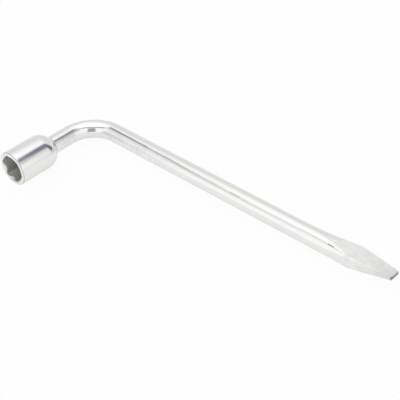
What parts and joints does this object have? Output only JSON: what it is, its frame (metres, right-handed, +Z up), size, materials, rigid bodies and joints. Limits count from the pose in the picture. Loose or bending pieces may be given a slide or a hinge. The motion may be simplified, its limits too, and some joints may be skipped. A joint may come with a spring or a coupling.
{
  "type": "l-shaped socket wrench",
  "caption": "L-shaped wheel-nut wrench: a bent round bar with a hexagon socket welded to the short arm and a flat forged pry tip on the long arm.",
  "frame": {"origin": "on the table under the middle of the wrench's bounding box, with the wrench lying as it comes to rest", "axes": "+Z up from the table; the long arm lies along Y with its pry tip towards -Y; the short arm points to -X and rises by about 7 degrees to the socket's mouth"},
  "size_m": [0.0914, 0.2914, 0.0299],
  "materials": {
    "bar_plating": "gloss",
    "socket_plating": "gloss",
    "weld_plating": "satin"
  },
  "bodies": {
    "root": {"bar": "bar_plating", "socket": "socket_plating", "weld": "weld_plating"}
  },
  "joints": []
}
